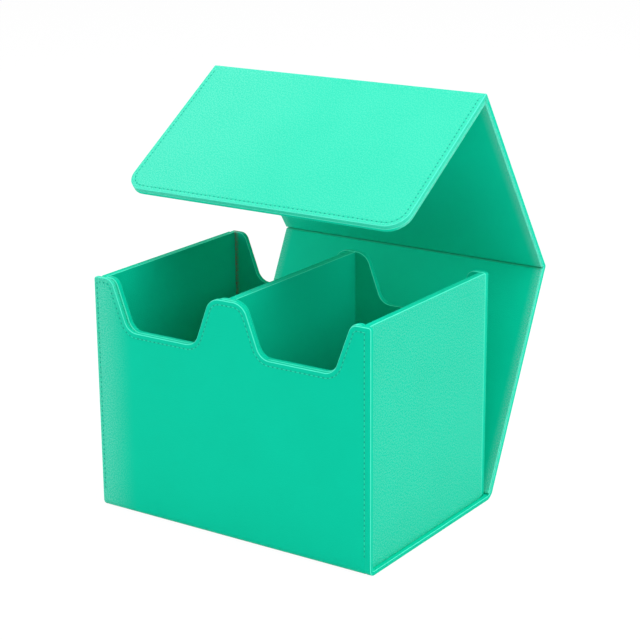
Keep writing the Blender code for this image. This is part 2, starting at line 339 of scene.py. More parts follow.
@dataclass(frozen=True)
class Section:
    """The sections that the pieces are made with."""

    edge: float = 0.5 * MM
    inner_edge: float = 0.4 * MM
    groove_width: float = 1.5 * MM
    groove_depth: float = 0.14 * MM
    turn_in: float = 4.5 * MM
    turn_in_leather: float = 0.2 * MM
    joint_place: float = 1.2 * MM
    joint_width: float = 0.6 * MM
    joint_depth: float = 0.35 * MM
    crease_rim: float = 1.0 * MM
    crease_share: float = 0.3
    crease_top: float = 0.36 * MM
    # How pale the sloped crease ends are painted: painted light that lifts the shade in the crease.
    crease_painted_light: float = 0.45

    def tray(
        self, depth: float, seam: float | None = None, narrow: tuple[float, float] = (0.0, 0.0)
    ) -> list[Ring]:
        """A leather cover, whose turned-in edge lies over the rim of the board behind it.

        Args:
            depth: the depth of the turned edge.
            seam: the distance of a pressed seam from the outline, or None.
            narrow: how much further the seam lies from the left and the right side.

        Returns:
            The rings from the outer face to the inner one.
        """
        rings = []
        if seam is not None:
            half = self.groove_width / 2
            for reach, drop in GROOVE_SHARES:
                rings.append(Ring(seam + half * reach, drop * self.groove_depth, 0, narrow))
        rings += self.pillow(0, depth)
        rings.append(Ring(self.turn_in, depth))
        rings.append(Ring(self.turn_in, depth - self.turn_in_leather))
        return rings + [Ring(LEATHER, depth - self.turn_in_leather), Ring(LEATHER, LEATHER)]

    def pillow(self, low: float, high: float, joint: bool = False) -> list[Ring]:
        """A wall, plate or strip with both edges rounded.

        Args:
            low: the depth of its first face.
            high: the depth of its second face.
            joint: True where two leathers meet in its rim, beside the first face.

        Returns:
            The rings from the first face to the second.
        """
        rings = round_over(self.edge, low, True)
        if joint:
            for reach, drop in ((-0.5, 0), (0, 1), (0.5, 0)):
                depth = low + self.joint_place + reach * self.joint_width
                rings.append(Ring(drop * self.joint_depth, depth))
        return rings + round_over(self.inner_edge, high, False)


SECTION = Section()
FLOOR_SECTION = Section(edge=0.3 * MM, inner_edge=0.3 * MM)


class Sheet:
    """A piece that is shaped flat, across, along and in depth, and then set in its place."""

    def __init__(self, outline: Outline, section: Sequence[Ring]) -> None:
        """Sweeps a face of the outline from ring to ring.

        Args:
            outline: the outline of the sheet.
            section: the rings of its section.
        """
        self.bm = bmesh.new()
        turned = self.bm.verts.layers.float.new(RIM_PALE_AND_HIGHLIGHT)
        face = self.bm.faces.new([self.bm.verts.new() for _ in outline.points()])
        start = list(face.verts)
        for number, ring in enumerate(section):
            if number:
                face = bmesh.ops.extrude_discrete_faces(self.bm, faces=[face])["faces"][0]
            shape = outline.narrowed(*ring.narrow).inset(ring.inset)
            for vert, point in zip(face.verts, shape.points()):
                vert.co = (point.x, point.y, ring.depth)
                vert[turned] = ring.turned
        self.bm.faces.new(start)
        bmesh.ops.recalc_face_normals(self.bm, faces=self.bm.faces)

    def _bisect(self, along: float, outward: float, clear: bool) -> list[bmesh.types.BMEdge]:
        """Cuts the sheet across and gives the edges of the cut."""
        geom = [*self.bm.verts, *self.bm.edges, *self.bm.faces]
        cut = bmesh.ops.bisect_plane(
            self.bm,
            geom=geom,
            dist=1e-7,
            plane_co=(0, along, 0),
            plane_no=(0, outward, 0),
            clear_outer=clear,
        )
        return [item for item in cut["geom_cut"] if isinstance(item, bmesh.types.BMEdge)]

    def trim(self, along: float, above: bool) -> "Sheet":
        """Cuts one end off square and closes it.

        Args:
            along: where the cut is.
            above: True where the end above the cut goes.

        Returns:
            The sheet itself.
        """
        edges = self._bisect(along, 1 if above else -1, True)
        bmesh.ops.holes_fill(self.bm, edges=edges, sides=0)
        return self

    def crease(self, places: Iterable[float]) -> "Sheet":
        """Adds lines across the sheet where it will bend.

        Args:
            places: the lines' places along the sheet.

        Returns:
            The sheet itself.
        """
        for along in places:
            self._bisect(along, 1, False)
        return self

    def mitre(self, end: float, inward: int, axis: float, reach: float = 7 * MM) -> "Sheet":
        """Slopes an end, so that two sheets can fold up to a right angle, and sharpens its rim. Below its
        top the rim is painted pale: painted light that lifts the shade in the crease.

        Args:
            end: the end's place along the sheet.
            inward: 1 where the sheet lies after that end, -1 where it lies before it.
            axis: the depth of the fold's axis.
            reach: how far from the end the points move.

        Returns:
            The sheet itself.
        """
        turned = self.bm.verts.layers.float[RIM_PALE_AND_HIGHLIGHT]
        rounded = max(vert.co.z for vert in self.bm.verts) - SECTION.crease_top
        for vert in self.bm.verts:
            gap = inward * (vert.co.y - end)
            if gap < SECTION.crease_rim:
                # Painted light on the crease walls, below the top face.
                vert[turned] = SECTION.crease_painted_light if vert.co.z < rounded else 0.0
                gap *= SECTION.crease_share
            if gap < reach:
                slope = max(vert.co.z - axis, 0) * (1 - gap / reach)
                vert.co.y = end + inward * (gap + slope)
        return self

    def set_in_place(self, way: Way) -> bmesh.types.BMesh:
        """Keeps the flat places as the pattern, then moves every point.

        Args:
            way: gives the place in the model of a point of the flat sheet.

        Returns:
            The finished mesh.
        """
        pattern = self.bm.verts.layers.float_vector.new(PATTERN)
        for vert in self.bm.verts:
            vert[pattern] = vert.co
            vert.co = way(vert.co)
        bmesh.ops.recalc_face_normals(self.bm, faces=self.bm.faces)
        return self.bm


def upright(face: float, inward: float) -> Way:
    """The way into a wall across X, with its depth measured from a face."""
    return lambda p: Vector((p.x, face + inward * p.z, p.y))


def sideways(face: float, inward: float) -> Way:
    """The way into a wall along Y, with its depth measured from a face."""
    return lambda p: Vector((face + inward * p.z, p.x, p.y))


def hinged(matrix: Matrix, roll: float) -> Way:
    """The way into a lid panel, whose outer face lies a roll away from the fold's axis."""
    return lambda p: matrix @ Vector((p.x, roll - p.z, p.y))


@dataclass(frozen=True)
class Bend:
    """The wrap's bend round a fold's axis, from the panel before it to the one after it."""

    matrix: Matrix
    roll: float
    radius: float
    turn: float
    margin: float
    zone: float
    steps: int = 10

    def creases(self) -> list[float]:
        """The places of the lines across the sheet."""
        inside = [self.zone * (2 * n / self.steps - 1) for n in range(self.steps + 1)]
        held = (self.margin + self.zone) / 2
        return [-held, *inside, held]

    def place(self, p: Vector) -> Vector:
        """Moves a point of the flat sheet onto the bend. The axis is at zero along the sheet."""
        gap = self.roll - p.z
        radius = max(self.radius - p.z, LEAST_RADIUS)
        lean = (gap - radius) * math.tan(self.turn / 2)
        if abs(p.y) >= self.margin:
            reach = abs(p.y)
        else:
            share = (self.margin - abs(p.y)) / (self.margin - self.zone)
            reach = self.margin - share * (self.margin + lean)
        if p.y <= -self.zone:
            return self.matrix @ Vector((p.x, gap, -reach))
        if p.y >= self.zone:
            return self.after @ Vector((p.x, gap, reach))
        angle = self.turn * (p.y + self.zone) / (2 * self.zone)
        arc = Vector((p.x, gap - radius + radius * math.cos(angle), lean + radius * math.sin(angle)))
        return self.matrix @ arc

    @property
    def after(self) -> Matrix:
        """The frame of the panel after the bend."""
        return self.matrix @ Matrix.Rotation(self.turn, 4, "X")

    def rim(self, share: float, back: float = 0.0) -> Vector:
        """A point on the outside of the bend, where the blend between two bodies starts or ends.

        Args:
            share: the share of the turn before the point.
            back: how far the point lies along the panel from the axis.

        Returns:
            The point in the model.
        """
        turned = self.matrix @ Matrix.Rotation(self.turn * share, 4, "X")
        return turned @ Vector((0, self.roll, back))


class Tree:
    """Adds nodes to one node tree and joins them."""

    def __init__(self, tree: bpy.types.NodeTree) -> None:
        """Starts from an empty tree.

        Args:
            tree: the tree of a material, a world or a group.
        """
        self.tree = tree
        tree.nodes.clear()

    def add(self, kind: str, inputs: dict | None = None, **settings: object) -> bpy.types.Node:
        """Adds a node.

        Args:
            kind: the node's type.
            inputs: values or sockets by input name or number.
            settings: the node's own settings.

        Returns:
            The node.
        """
        node = self.tree.nodes.new(kind)
        for name, value in settings.items():
            setattr(node, name, value)
        for name, value in (inputs or {}).items():
            if isinstance(value, bpy.types.NodeSocket):
                self.tree.links.new(value, node.inputs[name])
            else:
                node.inputs[name].default_value = value
        return node

    def maths(self, operation: str, *values: object) -> bpy.types.NodeSocket:
        """The result of a sum on one, two or three values or sockets."""
        inputs = dict(enumerate(values))
        return self.add("ShaderNodeMath", inputs, operation=operation).outputs[0]

    def ramp(self, value: bpy.types.NodeSocket, low: float, high: float) -> bpy.types.NodeSocket:
        """A smooth step from 0 at low to 1 at high."""
        inputs = {"Value": value, "From Min": low, "From Max": high}
        node = self.add("ShaderNodeMapRange", inputs, interpolation_type="SMOOTHSTEP")
        return node.outputs["Result"]

    def looked_at(self) -> bpy.types.NodeSocket:
        """1 on the rays that look at a surface, 0 on those that only light others."""
        path = self.add("ShaderNodeLightPath").outputs
        through = self.maths("MAXIMUM", path["Is Glossy Ray"], path["Is Transmission Ray"])
        return self.maths("MAXIMUM", path["Is Camera Ray"], through)

    def mix(self, share: object, first: object, second: object) -> bpy.types.NodeSocket:
        """A mix of two colours."""
        node = self.add("ShaderNodeMix", {0: share, 6: first, 7: second}, data_type="RGBA")
        return node.outputs[2]

    def noise(self, place: bpy.types.NodeSocket, scale: object, detail: float) -> bpy.types.NodeSocket:
        """The strength of a noise at a place."""
        inputs = {"Vector": place, "Scale": scale, "Detail": detail}
        return self.add("ShaderNodeTexNoise", inputs).outputs["Fac"]

    def surface(
        self,
        colour: bpy.types.NodeSocket,
        height: bpy.types.NodeSocket,
        relief: tuple[float, float],
        **shader: object,
    ) -> None:
        """Ends a material with a bump, a Principled shader and the output.

        Args:
            colour: the base colour.
            height: the height of the relief, from 0 to about 1.
            relief: the bump's strength and its distance.
            shader: the shader's other inputs, with underlines for spaces.
        """
        strength, distance = relief
        bump = self.add(
            "ShaderNodeBump", {"Strength": strength, "Distance": distance, "Height": height}
        )
        inputs = {"Base Color": colour, "Normal": bump.outputs["Normal"]}
        inputs.update((name.replace("_", " "), value) for name, value in shader.items())
        principled = self.add("ShaderNodeBsdfPrincipled", inputs)
        self.add("ShaderNodeOutputMaterial", {"Surface": principled.outputs["BSDF"]})


def new_material(name: str) -> tuple[bpy.types.Material, Tree]:
    """A material and its empty tree."""
    material = bpy.data.materials.new(name)
    material.use_nodes = True
    return material, Tree(material.node_tree)


def group(name: str, inputs: dict[str, str], outputs: Sequence[str]) -> tuple[Tree, dict]:
    """Starts a node group with float, vector or colour inputs and float outputs.

    Args:
        name: the group's name.
        inputs: the socket types by name.
        outputs: the names of its outputs.

    Returns:
        Its tree and its input sockets by name.
    """
    tree = bpy.data.node_groups.new(name, "ShaderNodeTree")
    for title, kind in inputs.items():
        tree.interface.new_socket(title, in_out="INPUT", socket_type=kind)
    for title in outputs:
        tree.interface.new_socket(title, in_out="OUTPUT", socket_type="NodeSocketFloat")
    nodes = Tree(tree)
    entry = nodes.add("NodeGroupInput")
    return nodes, {title: entry.outputs[title] for title in inputs}


@dataclass
class Effects:
    """The surface effects that more than one finish uses, as node groups. Scales are per metre."""

    pore_ratio: float = 2.3
    pore_height: float = 0.5
    pebble_height: float = -0.8
    drift_scale: float = 26.0
    drift_range: tuple[float, float] = (0.3, 0.7)
    wobble_scale: float = 420.0
    wobble_turns: float = 2.2
    speck_scale: float = 1250.0
    speck_range: tuple[float, float] = (0.44, 0.58)
    woven_height: float = 0.35
    speckle_share: float = 0.7

    def __post_init__(self) -> None:
        """Builds every group once."""
        self.grain = self._grain()
        self.weave = self._weave()
        self.side_bands = self._side_bands()

    def _grain(self) -> bpy.types.NodeTree:
        """Pebbled leather grain with fine pores, and a slow drift of tone."""
        nodes, given = group(
            "pebbled grain",
            {"Pattern": "NodeSocketVector", "Place": "NodeSocketVector", "Cells": "NodeSocketFloat"},
            ("Height", "Tone"),
        )
        cells = nodes.add(
            "ShaderNodeTexVoronoi",
            {"Vector": given["Pattern"], "Scale": given["Cells"]},
            feature="SMOOTH_F1",
        )
        pore_scale = nodes.maths("MULTIPLY", given["Cells"], self.pore_ratio)
        pores = nodes.noise(given["Pattern"], pore_scale, 3.0)
        drift = nodes.noise(given["Place"], self.drift_scale, 4.0)
        pebbles = nodes.maths("MULTIPLY", cells.outputs["Distance"], self.pebble_height)
        height = nodes.maths("MULTIPLY_ADD", pores, self.pore_height, pebbles)
        tone = nodes.ramp(drift, *self.drift_range)
        nodes.add("NodeGroupOutput", {"Height": height, "Tone": tone})
        return nodes.tree

    def _weave(self) -> bpy.types.NodeTree:
        """A fine woven emboss, with threads across and along the pattern."""
        nodes, given = group(
            "woven emboss",
            {"Pattern": "NodeSocketVector", "Threads": "NodeSocketFloat"},
            ("Height", "Speckle"),
        )
        wobble = nodes.noise(given["Pattern"], self.wobble_scale, 2.0)
        parts = nodes.add("ShaderNodeSeparateXYZ", {"Vector": given["Pattern"]})
        waves = []
        for axis in ("X", "Y"):
            turns = nodes.maths("MULTIPLY", parts.outputs[axis], given["Threads"])
            shaken = nodes.maths("MULTIPLY_ADD", wobble, self.wobble_turns, turns)
            waves.append(nodes.maths("SINE", shaken))
        woven = nodes.maths("MULTIPLY", *waves)
        speck = nodes.noise(given["Pattern"], self.speck_scale, 2.0)
        height = nodes.maths("MULTIPLY_ADD", woven, self.woven_height, speck)
        speckle = nodes.ramp(speck, *self.speck_range)
        nodes.add("NodeGroupOutput", {"Height": height, "Speckle": speckle})
        return nodes.tree

    def _side_bands(self) -> bpy.types.NodeTree:
        """A speckled mask of a band beside the long sides of a panel, for painted light or a brown corner
        band.
        """
        nodes, given = group(
            "side bands",
            {
                "Pattern": "NodeSocketVector",
                "Speckle": "NodeSocketFloat",
                "Half Width": "NodeSocketFloat",
                "Band": "NodeSocketFloat",
                "Right Side": "NodeSocketFloat",
            },
            ("Mask",),
        )
        across = nodes.add("ShaderNodeSeparateXYZ", {"Vector": given["Pattern"]}).outputs["X"]
        leftward = nodes.maths("MULTIPLY", across, -1.0)
        rightward = nodes.maths("MULTIPLY", across, given["Right Side"])
        out = nodes.maths("MAXIMUM", leftward, rightward)
        inside = nodes.maths("SUBTRACT", given["Half Width"], out)
        near = nodes.maths("ABSOLUTE", nodes.maths("DIVIDE", inside, given["Band"]))
        fade = nodes.maths("SUBTRACT", 1.0, nodes.ramp(near, 0.0, 1.0))
        least = 1 - self.speckle_share
        speckled = nodes.maths("MULTIPLY_ADD", given["Speckle"], self.speckle_share, least)
        mask = nodes.maths("MULTIPLY", fade, speckled)
        nodes.add("NodeGroupOutput", {"Mask": mask})
        return nodes.tree


def rgba(colour: Colour) -> tuple[float, float, float, float]:
    """A colour with full alpha."""
    return (*colour, 1.0)


@dataclass(frozen=True)
class SideBand:
    """A speckled band of colour beside the sides of a sheet: painted light on most finishes, a brown corner
    band on the rear wall.
    """

    colour: Colour
    half_width: float
    band: float
    amount: float = 1.0
    right_side: float = 1.0


@dataclass(frozen=True)
class LeatherFinish:
    """Leatherette: its colours, grain, weave and gloss, and its painted light: pale rims, sheen glints and
    side bands.
    """

    name: str
    colour: Colour
    deep: Colour
    # pale: the colour painted where turned is high. On rounded rims it is partly stretched leather and
    # partly a painted highlight; at crease ends it is painted light.
    pale: Colour = (0.10, 0.86, 0.62)
    cells: float = 1250.0
    threads: float = 0.0
    grain: float = 0.6
    grain_height: float = 0.12 * MM
    roughness: float = 0.5
    specular: float = 0.03
    sheen: float = 0.015
    # The next two give the colour and the amount of a speckle of painted sheen glints on the grain, kept to
    # the outer face.
    glint_colour: Colour = (0.18, 0.76, 0.56)
    glint_amount: float = 0.0
    drift: float = 0.5
    weave: float = 1.4
    outer_fade: tuple[float, float] = (0.6 * MM, 0.2 * MM)
    pale_range: tuple[float, float] = (0.1, 1.0)
    gloss: float = -0.10
    side_band: SideBand | None = None

    def build(self, effects: Effects) -> bpy.types.Material:
        """Makes the material.

        Args:
            effects: the shared node groups.

        Returns:
            The material.
        """
        material, nodes = new_material(self.name)
        pattern = nodes.add("ShaderNodeAttribute", attribute_name=PATTERN).outputs["Vector"]
        turned = nodes.add("ShaderNodeAttribute", attribute_name=RIM_PALE_AND_HIGHLIGHT).outputs["Fac"]
        place = nodes.add("ShaderNodeTexCoord").outputs["Object"]
        grain = nodes.add(
            "ShaderNodeGroup",
            {"Pattern": pattern, "Place": place, "Cells": self.cells},
            node_tree=effects.grain,
        )
        weave = nodes.add(
            "ShaderNodeGroup",
            {"Pattern": pattern, "Threads": self.threads},
            node_tree=effects.weave,
        )
        share = self.weave if self.threads else 0.0
        height = nodes.maths(
            "MULTIPLY_ADD", weave.outputs["Height"], share, grain.outputs["Height"]
        )
        tone = nodes.maths("MULTIPLY", grain.outputs["Tone"], self.drift)
        colour = nodes.mix(tone, rgba(self.colour), rgba(self.deep))
        # A speckle of painted sheen glints, on the outer face only.
        depth = nodes.add("ShaderNodeSeparateXYZ", {"Vector": pattern}).outputs["Z"]
        outer = nodes.ramp(depth, *self.outer_fade)
        glint_share = nodes.maths("MULTIPLY", weave.outputs["Speckle"], self.glint_amount)
        glint_share = nodes.maths("MULTIPLY", glint_share, outer)
        colour = nodes.mix(glint_share, colour, rgba(self.glint_colour))
        # The side band: a painted pale fall of light or sheen, or on the rear wall a brown corner band.
        if self.side_band:
            mask = nodes.add(
                "ShaderNodeGroup",
                {
                    "Pattern": pattern,
                    "Speckle": weave.outputs["Speckle"],
                    "Half Width": self.side_band.half_width,
                    "Band": self.side_band.band,
                    "Right Side": self.side_band.right_side,
                },
                node_tree=effects.side_bands,
            ).outputs["Mask"]
            amount = nodes.maths("MULTIPLY", mask, self.side_band.amount)
            colour = nodes.mix(amount, colour, rgba(self.side_band.colour))
        # Pale where the turned mask is high: a painted highlight on rims, partly stretched leather, and
        # painted light at the crease ends.
        nodes.surface(
            nodes.mix(nodes.ramp(turned, *self.pale_range), colour, rgba(self.pale)),
            height,
            (self.grain, self.grain_height),
            Roughness=nodes.maths("MULTIPLY_ADD", height, self.gloss, self.roughness),
            Specular_IOR_Level=self.specular,
            Sheen_Weight=self.sheen,
        )
        return material


@dataclass(frozen=True)
class PlainFinish:
    """A small or hidden surface: two tones of speckle, with its own gloss."""

    name: str
    colour: Colour
    deep: Colour
    scale: float
    roughness: float
    metallic: float = 0.0
    specular: float = 0.3
    speck_range: tuple[float, float] = (-0.3, 0.25)
    relief: tuple[float, float] = (0.5, 0.05 * MM)

    def build(self, effects: Effects) -> bpy.types.Material:
        """Makes the material.

        Args:
            effects: the shared node groups.

        Returns:
            The material.
        """
        material, nodes = new_material(self.name)
        place = nodes.add("ShaderNodeTexCoord").outputs["Object"]
        grain = nodes.add(
            "ShaderNodeGroup",
            {"Pattern": place, "Place": place, "Cells": self.scale},
            node_tree=effects.grain,
        )
        height = grain.outputs["Height"]
        speck = nodes.ramp(height, *self.speck_range)
        nodes.surface(
            nodes.mix(speck, rgba(self.deep), rgba(self.colour)),
            height,
            self.relief,
            Roughness=self.roughness,
            Metallic=self.metallic,
            Specular_IOR_Level=self.specular,
        )
        return material


class Finishes:
    """Every material of the case."""

    def __init__(self) -> None:
        """Builds the materials from their finishes."""
        effects = Effects()
        leather = LeatherFinish("sea green leatherette", (0.0, 0.63, 0.405), (0.0, 0.60, 0.38))
        self.leather = leather.build(effects)
        # Darker than the sea green leatherette: painted shade on the front face. Its band at the left side
        # is a painted pale fall of light.
        self.front = replace(
            leather,
            name="front leatherette",
            colour=(0.0, 0.58, 0.365),
            deep=(0.0, 0.555, 0.345),
            side_band=SideBand((0.15, 0.68, 0.50), WRAP_WIDTH / 2, 28 * MM, 0.75, right_side=0.0),
        ).build(effects)
        # The flap's touch of red is painted sheen, its glints are painted sheen on the grain, and its broad
        # band fading from the left is painted sheen.
        self.flap = replace(
            leather,
            name="flap leatherette",
            colour=(0.02, 0.63, 0.41),
            deep=(0.01, 0.60, 0.385),
            glint_amount=0.12,
            side_band=SideBand((0.17, 0.74, 0.56), WRAP_WIDTH / 2, 190 * MM, 0.5, right_side=0.0),
        ).build(effects)
        # The lining's speckle is painted sheen glints on the grain.
        lining = LeatherFinish(
            "lining leatherette",
            (0.0, 0.60, 0.38),
            (0.0, 0.57, 0.355),
            threads=7000.0,
            roughness=0.55,
            glint_colour=(0.13, 0.64, 0.47),
            glint_amount=0.50,
        )
        self.lining = lining.build(effects)
        # A brown, darker band along the left end of the rear wall's face, in the corner by the left wall.
        self.rear_wall = replace(
            lining,
            name="rear wall leatherette",
            glint_amount=0.0,
            side_band=SideBand((0.34, 0.20, 0.15), BOX_WIDTH / 2 - SIDE_WALL, 3.6 * MM, right_side=0.0),
        ).build(effects)
        # Lighter than the lining: painted light under the lid. Its narrow bands along both sides are painted
        # sheen.
        self.lid_lining = replace(
            lining,
            name="lid lining leatherette",
            colour=(0.0, 0.62, 0.395),
            deep=(0.0, 0.59, 0.37),
            glint_amount=0.0,
            side_band=SideBand((0.27, 0.66, 0.55), WRAP_WIDTH / 2, 7 * MM, 0.5),
        ).build(effects)
        self.thread = PlainFinish(
            "sewing thread", (0.03, 0.70, 0.47), (0.0, 0.63, 0.41), 2600.0, 0.6
        ).build(effects)
        # The needle hole colour is painted shade in the holes.
        self.hole_shade = PlainFinish(
            "needle hole", (0.0, 0.40, 0.27), (0.0, 0.35, 0.235), 2600.0, 0.9
        ).build(effects)
        self.board = PlainFinish(
            "pressed greyboard", (0.46, 0.44, 0.40), (0.36, 0.34, 0.31), 1400.0, 0.9
        ).build(effects)
        self.steel = PlainFinish(
            "plated magnet", (0.66, 0.67, 0.69), (0.56, 0.57, 0.60), 3000.0, 0.3, 1.0
        ).build(effects)


def linked(name: str, data: bpy.types.ID) -> bpy.types.Object:
    """A new object in the scene."""
    made = bpy.data.objects.new(name, data)
    bpy.context.scene.collection.objects.link(made)
    return made


def publish(
    bm: bmesh.types.BMesh, name: str, material: bpy.types.Material, slot: Slot
) -> bpy.types.Object:
    """Turns a finished mesh into a piece of the scene.

    Args:
        bm: the mesh, in its place.
        name: the piece's name.
        material: its finish.
        slot: the record's slot that the finish belongs to; not used.

    Returns:
        The piece, which doesn't ride on a body yet.
    """
    mesh = bpy.data.meshes.new(name)
    bm.to_mesh(mesh)
    faces = len(bm.faces)
    bm.free()
    mesh.shade_smooth()
    mesh.set_sharp_from_angle(angle=SHARP_ANGLE)
    mesh.materials.append(material)
    piece = linked(name, mesh)
    LOG.info("%s: %d faces", name, faces)
    return piece


@dataclass
class Stitching:
    """A row of machine stitches: thread grains, and between them dark discs on the leather that paint the
    shade in the needle holes.
    """

    finishes: Finishes
    pitch: float = 3.1 * MM
    length: float = 2.3 * MM
    thickness: float = 0.46 * MM
    raised: float = 0.12 * MM
    hole_radius: float = 0.68 * MM
    hole_lift: float = 0.02 * MM
    sides: int = 8
    rings: int = 5
    step: float = 0.1 * MM

    def _stops(self, line: Sequence[Vector]) -> list[tuple[Vector, Vector]]:
        """Even stops along a line, each with the line's direction there."""
        lengths = [0.0]
        for before, after in zip(line, line[1:]):
            lengths.append(lengths[-1] + (after - before).length)
        count = round(lengths[-1] / self.pitch)
        stops = []
        leg = 0
        for number in range(2 * count + 1):
            reach = lengths[-1] * number / (2 * count)
            while leg < len(line) - 2 and lengths[leg + 1] < reach:
                leg += 1
            along = line[leg + 1] - line[leg]
            share = (reach - lengths[leg]) / along.length if along.length else 0.0
            stops.append((line[leg] + along * share, along.normalized()))
        return stops

    def sew(self, name: str, lines: Iterable[Sequence[Vector]], way: Way, sunk: float) -> list:
        """Sews along lines of a flat sheet.

        Args:
            name: what the pieces' names start with.
            lines: the flat lines of the seams.
            way: the way from the flat sheet into the model.
            sunk: the depth of the groove that the stitches lie in.

        Returns:
            The pieces of the thread and of the painted shade in the needle holes.
        """
        thread, holes = bmesh.new(), bmesh.new()
        for line in lines:
            for number, (stop, along) in enumerate(self._stops(line)):
                centre = way(Vector((stop.x, stop.y, sunk)))
                onward = stop + along * self.step
                ahead = (way(Vector((onward.x, onward.y, sunk))) - centre).normalized()
                out = (way(Vector((stop.x, stop.y, sunk - self.step))) - centre).normalized()
                side = out.cross(ahead)
                turn = Matrix((ahead, side, out)).transposed().to_4x4()
                if number % 2:
                    size = Matrix.Diagonal((self.length / 2, self.thickness / 2, self.thickness / 2, 1))
                    lift = Matrix.Translation(centre + out * (self.raised - self.thickness / 4))
                    bmesh.ops.create_uvsphere(
                        thread,
                        u_segments=self.sides,
                        v_segments=self.rings,
                        radius=1,
                        matrix=lift @ turn @ size,
                    )
                else:
                    # A flat dark disc on the surface: painted shade in the needle hole.
                    place = Matrix.Translation(centre + out * self.hole_lift) @ turn
                    bmesh.ops.create_circle(
                        holes,
                        cap_ends=True,
                        segments=self.sides,
                        radius=self.hole_radius,
                        matrix=place,
                    )
        bmesh.ops.recalc_face_normals(thread, faces=thread.faces)
        return [
            publish(thread, f"{name}_thread", self.finishes.thread, Slot.LEATHERETTE),
            publish(holes, f"{name}_needle_hole_shades", self.finishes.hole_shade, Slot.LEATHERETTE),
        ]


@dataclass
class WrapBase:
    """The front panel, its bend and the bottom panel, as one folded piece of leather."""

    finishes: Finishes
    notches: Notches = field(default_factory=lambda: Notches(post=13.0 * MM, lobe=11.8 * MM))
    bend_radius: float = 4.0 * MM
    bend_margin_share: float = 1.6
    bend_steps: int = 14
    rear_end: float = 66.15 * MM
    seam_inset: float = 3.0 * MM
    seam_narrow: tuple[float, float] = (-1.0 * MM, 1.3 * MM)
    seam_start: float = 9.0 * MM

    def build(self) -> None:
        """Builds the leather and its stitches."""
        axis = Matrix.Translation((0, FRONT_FACE + self.bend_radius, self.bend_radius))
        bend = Bend(
            axis @ Matrix.Rotation(math.pi, 4, "X"),
            roll=self.bend_radius,
            radius=self.bend_radius,
            turn=math.pi / 2,
            margin=self.bend_radius * self.bend_margin_share,
            zone=self.bend_radius * math.pi / 4,
            steps=self.bend_steps,
        )
        rear = -(self.rear_end - FRONT_FACE - self.bend_radius)
        high = CASE_HEIGHT - self.bend_radius
        outline = self.notches.outline(WRAP_WIDTH, rear - OVERRUN, high)
        sheet = Sheet(outline, SECTION.tray(WRAP_PANEL, self.seam_inset, self.seam_narrow))
        sheet.trim(rear, False).crease(bend.creases())

        def way(p: Vector) -> Vector:
            """Folds the sheet round the front's lower edge."""
            return bend.place(Vector((p.x, -p.y, p.z)))

        leather = publish(
            sheet.set_in_place(way), "wrap_base_leather", self.finishes.front, Slot.LEATHERETTE
        )
        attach(leather, Body.BOX.value)
        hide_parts("front_cover", "front_bottom_fold", "bottom_cover")

        low = self.seam_start - self.bend_radius
        line = self.notches.outline(WRAP_WIDTH, low, high).narrowed(*self.seam_narrow)
        seam = line.inset(self.seam_inset).seam(1)
        for piece in Stitching(self.finishes).sew("front_seam", [seam], way, SECTION.groove_depth):
            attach(piece, Body.BOX.value)


@dataclass
class Box:
    """The covered walls, the divider and the floor linings inside the wrap."""

    finishes: Finishes
    wall_base: float = 2.8 * MM
    front_wall_face: float = -64.4 * MM
    front_wall: float = 3.4 * MM
    rear_wall: float = 3.4 * MM
    divider: float = 5.2 * MM
    inner_post: float = 11.4 * MM
    inner_lobe: float = 10.1 * MM
    floor_top: float = 5.5 * MM
    corner: float = 1.6 * MM

    def _wall(self, name: str, outline: Outline, thickness: float, way: Way) -> None:
        """Covers one wall."""
        sheet = Sheet(outline, SECTION.pillow(0, thickness, joint=True))
        finish = self.finishes.rear_wall if name == "rear_wall" else self.finishes.lining
        piece = publish(sheet.set_in_place(way), f"{name}_cover", finish, Slot.LINING)
        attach(piece, Body.BOX.value)
        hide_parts(f"{name}_lining")

    def build(self) -> None:
        """Builds the walls and floors."""
        inside = BOX_WIDTH - 2 * SIDE_WALL
        seated_post = self.inner_post - SIDE_WALL
        front = Notches(post=seated_post, lobe=self.inner_lobe)
        rear = Notches(post=self.inner_post, lobe=self.inner_lobe)
        self._wall(
            "inner_front_wall",
            front.outline(inside, self.wall_base, CASE_HEIGHT),
            self.front_wall,
            upright(self.front_wall_face, 1),
        )
        self._wall(
            "rear_wall",
            rear.outline(BOX_WIDTH, self.wall_base, CASE_HEIGHT),
            self.rear_wall,
            upright(REAR_FACE, -1),
        )
        room_front = self.front_wall_face + self.front_wall
        room_rear = REAR_FACE - self.rear_wall
        for side, sign in (("left", -1), ("right", 1)):
            outline = self._between(self.front_wall_face, room_rear, self.wall_base)
            way = sideways(sign * BOX_WIDTH / 2, -sign)
            self._wall(f"{side}_wall", outline, SIDE_WALL, way)
        divider = self._between(room_front, room_rear, self.floor_top - LEATHER)
        self._wall("divider", divider, self.divider, sideways(-self.divider / 2, 1))
        self._floors(inside, room_front, room_rear)

    def _between(self, front: float, rear: float, low: float) -> Outline:
        """The outline of a wall that runs along Y."""
        outline = sheet_outline(rear - front, low, CASE_HEIGHT, self.corner, self.corner)
        middle = (front + rear) / 2
        return Outline(tuple(replace(c, across=c.across + middle) for c in outline.corners))

    def _floors(self, inside: float, front: float, rear: float) -> None:
        """Lays the lining of each bay's floor."""
        width = (inside - self.divider) / 2
        centre = (inside + self.divider) / 4
        for side, middle in (("left", -centre), ("right", centre)):
            outline = sheet_outline(width, front, rear, self.corner, self.corner)
            sheet = Sheet(outline, FLOOR_SECTION.pillow(-LEATHER, 0))

            def way(p: Vector, middle: float = middle) -> Vector:
                """Lays the sheet on the floor of its bay."""
                return Vector((p.x + middle, p.y, self.floor_top + p.z))

            piece = publish(
                sheet.set_in_place(way), f"{side}_floor_cover", self.finishes.lining, Slot.LINING
            )
            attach(piece, Body.BOX.value)
            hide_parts(f"{side}_floor_lining")


